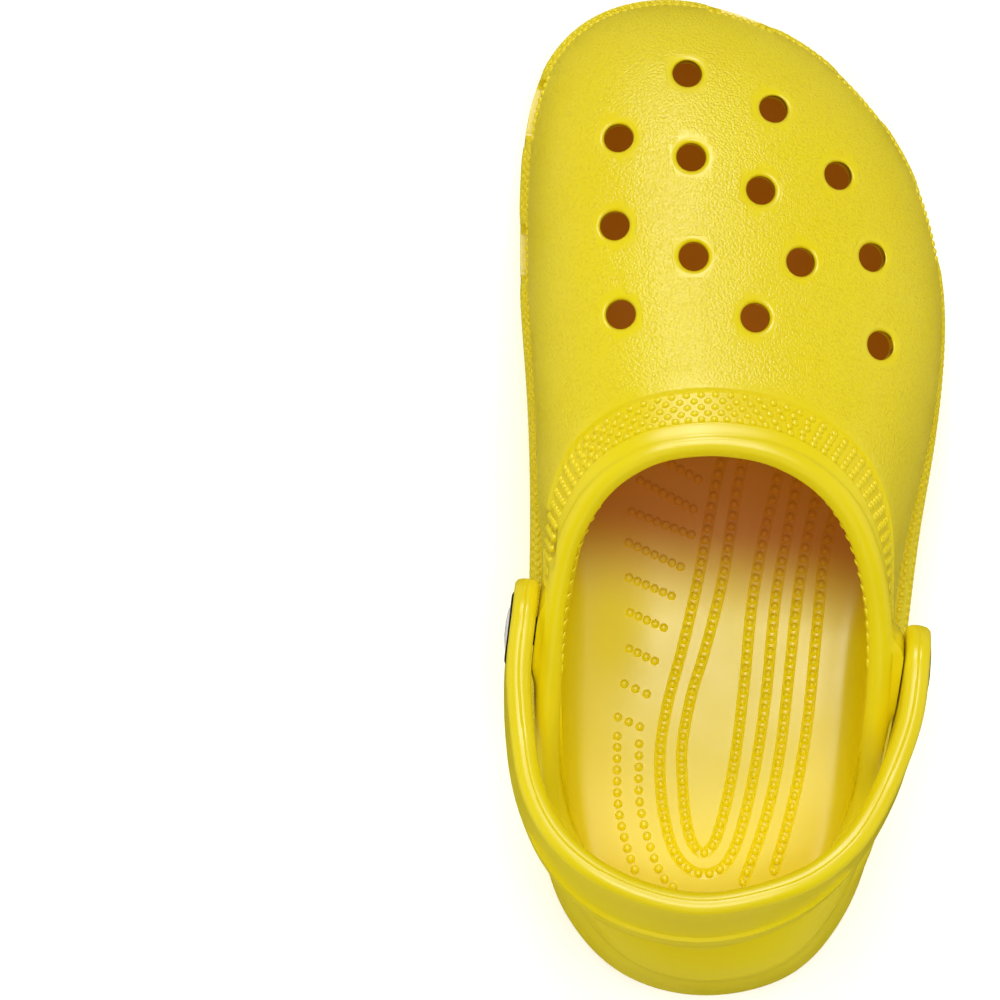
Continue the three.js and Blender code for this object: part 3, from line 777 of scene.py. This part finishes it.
def footbed_nubs():
    """The nubs that line the footbed's grooves, and the shorter lines and dashes beside them."""
    solids = Solids()
    places = []
    for line, sunk in [*((g, GROOVE_DEPTH) for g in NUB_GROOVES), *((n, 0) for n in NUB_LINES)]:
        _, length = open_curve(line, 200)
        path, _ = open_curve(line, int(round(length / NUB_PITCH)) + 1)
        places += [(x, y, sunk) for x, y in path]
    for first, last, count in NUB_DASHES:
        t = np.linspace(0, 1, count)[:, None]
        places += [(x, y, 0) for x, y in np.array(first) * (1 - t) + np.array(last) * t]
    for x, y, sunk in places:
        z = footbed_height(x, y) - sunk
        height = NUB_HEIGHTS[sunk > 0]
        dome(solids, np.array([x, y, z]), UP, np.array([0.0, 1.0, 0.0]), NUB_RADIUS, NUB_RADIUS,
             height, 12)
    piece = solids.piece("footbed_nubs")
    tops = np.vstack(solids.points)
    # Painted shade by how far under the vamp each nub is, and a mark for the painted glow inside.
    mark(piece, "painted_shade", depth_inside(tops[:, 0], tops[:, 1]))
    mark(piece, "inside", np.ones(len(tops)))
    return piece


def on_wall(u, distance):
    """Places at one distance down the wall from the lip."""
    places, _ = Section(u).down_wall(np.full((len(u), 1), distance))
    return places[:, 0]


def spaced(u_from, u_to, distance, pitch):
    """Evenly spaced station parameters for any shift in pitches, and how far each is from the front."""
    u = np.linspace(u_from, u_to, 900)
    travelled = travel_along(on_wall(u, distance))
    middle = np.interp(FRONT, u, travelled)
    places = np.arange(-int(middle / pitch), int((travelled[-1] - middle) / pitch) + 1)
    return lambda shift: np.interp(middle + (places + shift) * pitch, travelled, u), places * pitch


BAND_ROWS = 5
BEAD_PITCH = 3.8
BEAD_HALF_LENGTH = 1.12
BEAD_HALF_WIDTH = 0.86
BEAD_WIDENS = 0.2  # towards the sides
BEAD_HEIGHT = 0.85


def collar_beads():
    """The band of beads round the front of the collar: staggered in front, in columns at the sides."""
    solids = Solids()
    at, travel = spaced(*BAND_REACH, (RING_END + BAND_END) / 2, BEAD_PITCH)
    gap = (BAND_END - RING_END) / BAND_ROWS
    for row in range(BAND_ROWS):
        distance = RING_END + gap * (row + 0.5)
        stagger = 0.5 * (row % 2) * (1 - smooth(22, 42, np.abs(travel)))
        u = at(stagger)
        beads = zip(u, on_wall(u, distance), on_wall(u + 1e-3, distance), on_wall(u, distance + 0.2))
        for bead_u, place, ahead, below in beads:
            along = unit(ahead - place)
            normal = unit(np.cross(below - place, along))
            if normal[2] < 0:
                normal = -normal
            sunk = collar_relief(bead_u, distance)
            side = smooth(0.06, 0.16, abs(bead_u - FRONT))
            dome(solids, place + normal * sunk, normal, along, BEAD_HALF_LENGTH,
                 BEAD_HALF_WIDTH + BEAD_WIDENS * side, BEAD_HEIGHT)
    return solids.piece("collar_beads")


LIP_BEAD_ANGLE = 2.85  # radians from the lip's top towards the inside
LIP_BEAD_PITCH = 4.2
LIP_BEAD = (1.5, 0.95, 0.38)  # half length, half width, height


def lip_beads():
    """The row of beads just inside the collar's lip."""
    solids = Solids()
    at, _ = spaced(0.2, 0.8, 0.0, LIP_BEAD_PITCH)
    u = at(0.0)
    section = Section(u)
    tangents = unit(crest(u, slope=True))
    normals = section.facing * math.cos(LIP_BEAD_ANGLE) - section.down * math.sin(LIP_BEAD_ANGLE)
    for lip, normal, along in zip(section.lip, normals, tangents):
        dome(solids, lip + normal * LIP_RADIUS, normal, along, *LIP_BEAD)
    return solids.piece("lip_beads")


RAND_PITCH = 2.25
RAND_ROWS = [  # height, shift along the row in pitches, bead height
    (17.6, 0.5, 0.35), (19.9, 0.0, 0.4), (22.2, 0.5, 0.4), (24.5, 0.0, 0.4), (26.9, 0.5, 0.55),
    (29.6, 0.0, 0.75), (33.2, 0.5, 0.8),
]
PORT_ROW = (38.4, 0.0, 0.7)  # the row that runs above the ports
RAND_LIFT = 0.45  # how much of the sole's lift the rows follow
RAND_BEAD = (1.0, 1.1)  # half length, half width
PORT_MARGIN = 1.2  # between a port's end and the nearest bead
SEARCH_FROM = 20  # outside the outline, where the search for a bead's place starts
SEARCH_REACH = 28


def rand_beads():
    """Rows of beads along the edge of the sole, round the forefoot; beside a port, one row above it."""
    solids = Solids()
    ports = np.array(PORTS)
    cut = tree_of(shell)
    u = np.linspace(0.17, 0.83, 2000)
    travelled = travel_along(outline(u)[:, :2])
    for height, shift, tall in [*RAND_ROWS, PORT_ROW]:
        count = int(travelled[-1] / RAND_PITCH)
        us = np.interp((np.arange(count) + shift) * RAND_PITCH, travelled, u)
        edges = outline(us)
        outs = flat_normal(outline(us, slope=True))
        for edge, out in zip(edges, outs):
            along = np.array([-out[1], out[0], 0])
            beside = np.hypot(ports[:, 0] - edge[0], ports[:, 1] - edge[1])
            clear = (beside - ports[:, 2] / 2).min()
            over_port = height == PORT_ROW[0]
            if over_port == (clear > PORT_MARGIN):
                continue
            taper = 1 if over_port else blend(0.45, 1, float(smooth(1, 5, clear)))
            origin = np.array([edge[0], edge[1], height + RAND_LIFT * lift(edge[1])])
            origin = origin + out * SEARCH_FROM
            hits = [cast(cut, origin + along * side, -out, SEARCH_REACH) for side in (-1.3, 0, 1.3)]
            if any(place is None for place, _ in hits):
                continue
            place, normal = hits[1]
            dome(solids, place, normal, along, *RAND_BEAD, tall * taper)
    return solids.piece("rand_beads")


# ---- The strap ----


def strap_band():
    """The strap: two round ears, the arms that leave them, and the taller band behind the heel."""
    middle = EAR_INNER + STRAP_THICKNESS / 2
    ears = [PIVOT + AXIS * side * middle for side in (-1, 1)]
    slack = [ear + STRAP_BACK * 0.8 * EAR_RADIUS for ear in ears]
    plan = np.array(STRAP_LINE, float)
    behind = (plan - PIVOT[:2]) @ BEHIND[:2]
    line = np.column_stack([plan, PIVOT[2] + behind * math.tan(TILT)])
    path, length = open_curve([ears[0], slack[0], *line, slack[1], ears[1]], 261)
    for _ in range(STRAP_PASSES):
        path[1:-1] += 0.5 * ((path[:-2] + path[2:]) / 2 - path[1:-1])
    travel = np.linspace(0, length, len(path))
    tangent = unit(np.gradient(path, axis=0))
    half = STRAP_THICKNESS / 2
    stops = []  # distance past the ear's middle, half thickness, half height
    reach = EAR_RADIUS - STRAP_CORNER
    for degrees in (4, 12, 22, 34, 46, 58, 68, 76, 83):
        angle = math.radians(degrees)
        back = EAR_RADIUS * math.cos(angle)
        tall = EAR_RADIUS * math.sin(angle)
        thick = half
        if back > reach:
            thick = half - STRAP_CORNER + math.sqrt(max(0, STRAP_CORNER ** 2 - (back - reach) ** 2))
        stops.append((back, max(thick, 0.3), tall))
    # Sections: place, direction, half thickness, half height, slant, distance from the ear.
    sections = [(ears[0] - STRAP_BACK * back, STRAP_BACK, thick, tall, 0, 0)
                for back, thick, tall in stops]
    for point, along, gone in zip(path, tangent, travel):
        from_ear = min(gone, length - gone)
        band = blend(ARM_HALF_HEIGHT, BACK_HALF_HEIGHT, smooth(*BAND_GROWS, from_ear))
        tall = blend(EAR_RADIUS, band, float(smooth(0, EAR_BLEND, from_ear)))
        lean = blend(*STRAP_SLANT, smooth(*BAND_LEANS, from_ear))
        slant = float(lean * smooth(EAR_RADIUS, EAR_BLEND, from_ear))
        sections.append((point, along, half, tall, slant, from_ear))
    sections += [(ears[1] - STRAP_BACK * back, -STRAP_BACK, thick, tall, 0, 0)
                 for back, thick, tall in reversed(stops)]
    rings = []
    for point, along, thick, tall, slant, from_ear in sections:
        out = unit(np.cross(along, STRAP_UP))
        high = STRAP_UP * math.cos(slant) - out * math.sin(slant)
        wide = out * math.cos(slant) + STRAP_UP * math.sin(slant)
        rings.append([point + wide * w + high * h for w, h in strap_profile(thick, tall, from_ear)])
    solids = Solids()
    solids.add(rings, ears[0] - STRAP_BACK * EAR_RADIUS, ears[1] - STRAP_BACK * EAR_RADIUS)
    band = solids.piece("strap_band")
    holes = Solids()
    for side in (-1, 1):
        turned(holes, side, [
            (0, EAR_INNER - 2), (SHANK_RADIUS + GAP, EAR_INNER - 2), (SHANK_RADIUS + GAP, HEAD_SEAT),
            (HEAD_RADIUS + 0.4, HEAD_SEAT), (HEAD_RADIUS + 0.4, EAR_OUTER - 0.6),
            (HEAD_RADIUS + 0.9, EAR_OUTER + 0.1), (HEAD_RADIUS + 0.9, EAR_OUTER + 2),
            (0, EAR_OUTER + 2)])
    carve(band, [holes.piece("strap_holes")])
    return band


def strap_profile(thick, tall, from_ear):
    """The band's section, clockwise from the middle of its outer face: (outwards, upwards)."""
    round_off = min(STRAP_CORNER, thick * 0.85, tall * 0.85)
    flat = tall - round_off
    wide = thick - round_off

    def corner(x, y, first):
        turn = [math.radians(degrees) for degrees in range(first, first + 91, 15)]
        return [(x + round_off * math.cos(a), y + round_off * math.sin(a)) for a in turn]

    sunk = PANEL_DEPTH * float(smooth(*PANEL_STARTS, from_ear))
    points = []
    # Outer face, top half: a blank sunk panel, then the rim.
    top, bottom = (share * flat for share in PANEL_EDGES)
    for h in (0, 0.5 * top, top - 0.3, top, top + 0.35, top + 0.7, (top + flat) / 2 + 0.3):
        depth = sunk * (1 - float(smooth(top - 0.2, top + 0.7, h)))
        points.append((thick - depth, h))
    points += corner(wide, flat, 0)
    # Top: the mould's parting line runs along the middle.
    seam_width, seam_depth = SEAM
    groove = seam_depth if tall > 4 else 0
    points += [(seam_width, tall), (0.0, tall - groove), (-seam_width, tall)]
    points += corner(-wide, flat, 90)
    points += [(-thick, flat * k) for k in (0.6, 0.2, -0.2, -0.6)]
    points += corner(-wide, -flat, 180) + corner(wide, -flat, 270)
    # Outer face, bottom half.
    for h in (bottom - 0.7, bottom - 0.35, bottom, bottom + 0.3, 0.5 * bottom):
        depth = sunk * float(smooth(bottom - 0.7, bottom + 0.2, h))
        points.append((thick - depth, h))
    return points[::-1]


# ---- Rivets ----


def rivet(side, name):
    """A rivet's head with its shank, its blank disc and the socket inside the collar."""
    ring = Solids()
    edge = ((0, 1.0), (0.12, 0.62), (0.45, 0.28), (0.95, 0.06), (1.5, 0))
    recess = ((0.75, 0.02), (0.5, 0.15), (0.4, 0.4), (0.4, EMBLEM_SINK))
    turned(ring, side, [
        (0, CAP_FLOOR + GAP), (3.5, CAP_FLOOR + GAP), (SHANK_RADIUS, CAP_FLOOR + GAP + 0.6),
        (SHANK_RADIUS, HEAD_BACK), (HEAD_RADIUS - 0.3, HEAD_BACK), (HEAD_RADIUS, HEAD_BACK + 0.3),
        *((HEAD_RADIUS - inwards, HEAD_FACE - down) for inwards, down in edge),
        *((EMBLEM_RADIUS + outwards, HEAD_FACE - down) for outwards, down in recess),
        (0, HEAD_FACE - EMBLEM_SINK)])
    disc = Solids()
    floor = HEAD_FACE - EMBLEM_SINK + GAP
    face = ((0, -0.25), (0.2, -0.08), (0.5, 0), (1.0, 0.1), (1.3, 0.02), (1.6, 0.25), (3, 0.52))
    turned(disc, side, [
        (0, floor), (EMBLEM_RADIUS, floor),
        *((EMBLEM_RADIUS - inwards, HEAD_FACE + up) for inwards, up in face),
        (2, HEAD_FACE + 0.78), (0, HEAD_FACE + 0.8)])
    cap = Solids()
    back = ((CAP_RADIUS - 0.2, 0.35), (CAP_RADIUS - 0.7, 0.6), (5, 0.9), (3.4, 0.95), (3.2, 0.7), (0, 0.7))
    turned(cap, side, [
        (0, CAP_FLOOR), (SHANK_RADIUS + GAP, CAP_FLOOR), (SHANK_RADIUS + GAP, CAP_SEAT + 2.2),
        (CAP_SLEEVE_RADIUS, CAP_SEAT + 2.2), (CAP_SLEEVE_RADIUS, CAP_FACE),
        (CAP_RADIUS - 0.2, CAP_FACE), (CAP_RADIUS, CAP_FACE - 0.2), (CAP_RADIUS, CAP_FLOOR),
        *((radius, CAP_FLOOR - down) for radius, down in back)])
    return [(solids.piece(f"rivet_{kind}_{name}"), f"rivet_{node}_{name}", slot)
            for solids, kind, node, slot in ((ring, "ring", "head", "rivet_plastic"),
                                             (disc, "disc", "emblem", "emblem_plastic"),
                                             (cap, "socket", "cap", "rivet_plastic"))]


# ---- Materials ----


PEBBLES = 1500  # cells of the grain per metre
GRAIN_HEIGHT = 0.00016  # metres


class Looks:
    """A node material, built call by call."""

    def __init__(self, name):
        self.material = bpy.data.materials.new(name)
        self.material.use_nodes = True
        self.tree = self.material.node_tree
        self.shader = self.tree.nodes["Principled BSDF"]
        self.place = self.node("TexCoord").outputs["Object"]

    def put(self, node, label, value):
        """Gives an input a number or a colour, or links it to the output of another node."""
        socket = node.inputs[label if isinstance(label, int) else label.replace("_", " ")]
        if isinstance(value, bpy.types.NodeSocket):
            self.tree.links.new(value, socket)
        else:
            socket.default_value = value

    def node(self, kind, **inputs):
        node = self.tree.nodes.new("ShaderNode" + kind)
        for label, value in inputs.items():
            self.put(node, label, value)
        return node

    def set(self, **inputs):
        for label, value in inputs.items():
            self.put(self.shader, label, value)

    def noise(self, scale, detail=2.0, roughness=0.5):
        return self.node("TexNoise", Scale=scale, Detail=detail, Roughness=roughness,
                         Vector=self.place).outputs["Fac"]

    def cells(self, scale):
        node = self.node("TexVoronoi", Scale=scale, Vector=self.place)
        node.feature = "SMOOTH_F1"
        return node.outputs["Distance"]

    def span(self, value, low, high, to_low, to_high):
        return self.node("MapRange", From_Min=low, From_Max=high, To_Min=to_low, To_Max=to_high,
                         Value=value).outputs["Result"]

    def math(self, operation, a, b):
        node = self.node("Math")
        node.operation = operation
        self.put(node, 0, a)
        self.put(node, 1, b)
        return node.outputs[0]

    def mix(self, factor, a, b):
        node = self.node("Mix")
        node.data_type = "RGBA"
        self.put(node, "Factor", factor)
        for label, value in ((6, a), (7, b)):
            self.put(node, label, (*value, 1) if isinstance(value, tuple) else value)
        return node.outputs[2]

    def layer(self, name):
        node = self.node("Attribute")
        node.attribute_name = name
        return node.outputs["Fac"]

    def bump(self, height, strength, distance):
        node = self.node("Bump", Strength=strength, Distance=distance, Height=height)
        self.set(Normal=node.outputs["Normal"])


FOAM = (0.87, 0.715, 0.002)
FOAM_PALE = (0.88, 0.73, 0.003)
FOAM_WARM = (0.86, 0.695, 0.001)
FOAM_VALLEY_SHADE = (0.78, 0.61, 0.001)  # painted shade between the pebbles of the grain
FOAM_SHADE_UNDER_VAMP = (0.28, 0.075, 0.001)  # painted shade deep under the vamp
FOAM_GLOW = (0.13, 0.042, 0)  # painted glow there, standing in for light through the foam
INSIDE_GLOW = (0.075, 0.06, 0)  # painted glow in the open part of the inside


def foam(name, pebbled):
    """Satin foam, warm, with painted shade in its grain and under the vamp and a painted glow inside; the
    layers on the mesh say where.
    """
    looks = Looks(name)
    broad = looks.span(looks.noise(22, 3), 0.35, 0.65, 0, 1)
    tint = looks.mix(broad, FOAM_WARM, FOAM_PALE)
    speck = looks.span(looks.noise(900, 1), 0.3, 0.7, 0, 1)
    colour = looks.mix(looks.math("MULTIPLY", speck, 0.35), tint, FOAM)
    rough = looks.span(looks.noise(60, 4), 0.3, 0.7, 0.29, 0.38)
    height = looks.math("MULTIPLY", looks.noise(2600, 2), 0.08)
    if pebbled:
        grain = looks.layer("grain")
        cell = looks.span(looks.cells(PEBBLES), 0.15, 0.75, 1, 0)
        pebble = looks.math("ADD", cell, looks.math("MULTIPLY", looks.noise(2 * PEBBLES, 2), 0.5))
        height = looks.math("ADD", height, looks.math("MULTIPLY", pebble, grain))
        # Painted shade in the valleys between the pebbles.
        valley_shade = looks.math("MULTIPLY", looks.span(cell, 0.0, 0.6, 0.7, 0), grain)
        colour = looks.mix(valley_shade, colour, FOAM_VALLEY_SHADE)
        rough = looks.math("ADD", rough, looks.math("MULTIPLY", grain, 0.04))
    # Painted shade deep under the vamp and inside the vents.
    painted_shade = looks.layer("painted_shade")
    # Painted glow inside the shoe, stronger under the vamp.
    glow = looks.mix(painted_shade, INSIDE_GLOW, FOAM_GLOW)
    looks.set(
        IOR=1.5,
        Specular_IOR_Level=0.95,
        Base_Color=looks.mix(painted_shade, colour, FOAM_SHADE_UNDER_VAMP),
        Emission_Color=looks.mix(looks.layer("inside"), (0, 0, 0), glow),
        Emission_Strength=1,
        Roughness=looks.math("ADD", rough, looks.math("MULTIPLY", painted_shade, 0.4)))
    looks.bump(height, 1.0, GRAIN_HEIGHT)
    return looks.material


def plastic(name, colour, worn, rough):
    looks = Looks(name)
    broad = looks.span(looks.noise(120, 4), 0.4, 0.7, 0, 1)
    looks.set(
        IOR=1.5,
        Base_Color=looks.mix(broad, colour, worn),
        Roughness=looks.span(looks.noise(260, 5, 0.6), 0.3, 0.7, rough - 0.06, rough + 0.08))
    looks.bump(looks.noise(1600, 3), 0.25, 0.00005)
    return looks.material


body_foam = foam("body_foam", True)
strap_foam = foam("strap_foam", False)
black = plastic("rivet_black", (0.012, 0.012, 0.013), (0.03, 0.03, 0.031), 0.33)
pale = plastic("emblem_pale", (0.90, 0.88, 0.86), (0.82, 0.80, 0.78), 0.26)


def fit(piece, material, body, slot, *nodes):
    piece.data.materials.clear()
    piece.data.materials.append(material)
    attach(piece, body)
    if nodes:
        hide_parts(*nodes)


fit(shell, body_foam, "clog", "body_foam", "clog_body")
for beads in (collar_beads(), lip_beads(), rand_beads(), footbed_nubs()):
    polish(beads, 80)
    fit(beads, body_foam, "clog", "body_foam")
strap = strap_band()
polish(strap)
fit(strap, strap_foam, "strap", "strap_foam", "heel_strap")
for side, name in ((-1, "medial"), (1, "lateral")):
    for piece, node, slot in rivet(side, name):
        polish(piece, 50)
        fit(piece, pale if slot == "emblem_plastic" else black, "clog", slot, node)

# ---- Stage, light and camera ----

FLOOR = 4000  # half its width
floor = make_piece("floor", [(-FLOOR, -FLOOR, 0), (FLOOR, -FLOOR, 0), (FLOOR, FLOOR, 0),
                             (-FLOOR, FLOOR, 0)], [(0, 1, 2, 3)])
paper = Looks("paper")
paper.set(Roughness=0.9, Specular_IOR_Level=0.1, Emission_Color=(1, 1, 1, 1), Emission_Strength=0.32)
paper.set(Base_Color=paper.mix(paper.noise(3, 2), (0.93, 0.93, 0.93), (0.95, 0.95, 0.95)))
floor.data.materials.append(paper.material)
floor.visible_glossy = False  # the foam shows no bright floor at grazing angles


def softbox(name, place, size, power, gloss=True):
    """A square light that faces the shoe; without gloss it is not mirrored in the foam."""
    light = bpy.data.lights.new(name, "AREA")
    light.size = size
    light.energy = power
    lamp = add(name, light)
    lamp.location = place
    lamp.rotation_euler = (-Vector(place)).to_track_quat("-Z", "Y").to_euler()
    lamp.visible_glossy = gloss


softbox("key", (-0.03, 1.25, 1.1), 0.65, 9)
softbox("overhead", (0, 0.25, 1.7), 0.85, 11)
softbox("outer_fill", (1.3, 0, 0.45), 1.0, 4.5, gloss=False)
softbox("arch_fill", (-1.3, 0, 0.45), 1.0, 5.5, gloss=False)
softbox("heel_fill", (0, -1.05, 1.2), 0.9, 7, gloss=False)

world = bpy.data.worlds.new("studio")
world.use_nodes = True
background = world.node_tree.nodes["Background"]
background.inputs["Color"].default_value = (1, 0.85, 0.66, 1)
background.inputs["Strength"].default_value = 0.1
bpy.context.scene.world = world
world.cycles_visibility.glossy = False
bpy.context.scene.view_settings.view_transform = "Standard"

camera_data = bpy.data.cameras.new("camera")
camera_data.sensor_width = 36
camera_data.lens = 160.1
camera = add("camera", camera_data)
camera.location = (-0.0643, 0, 1.3)
bpy.context.scene.camera = camera
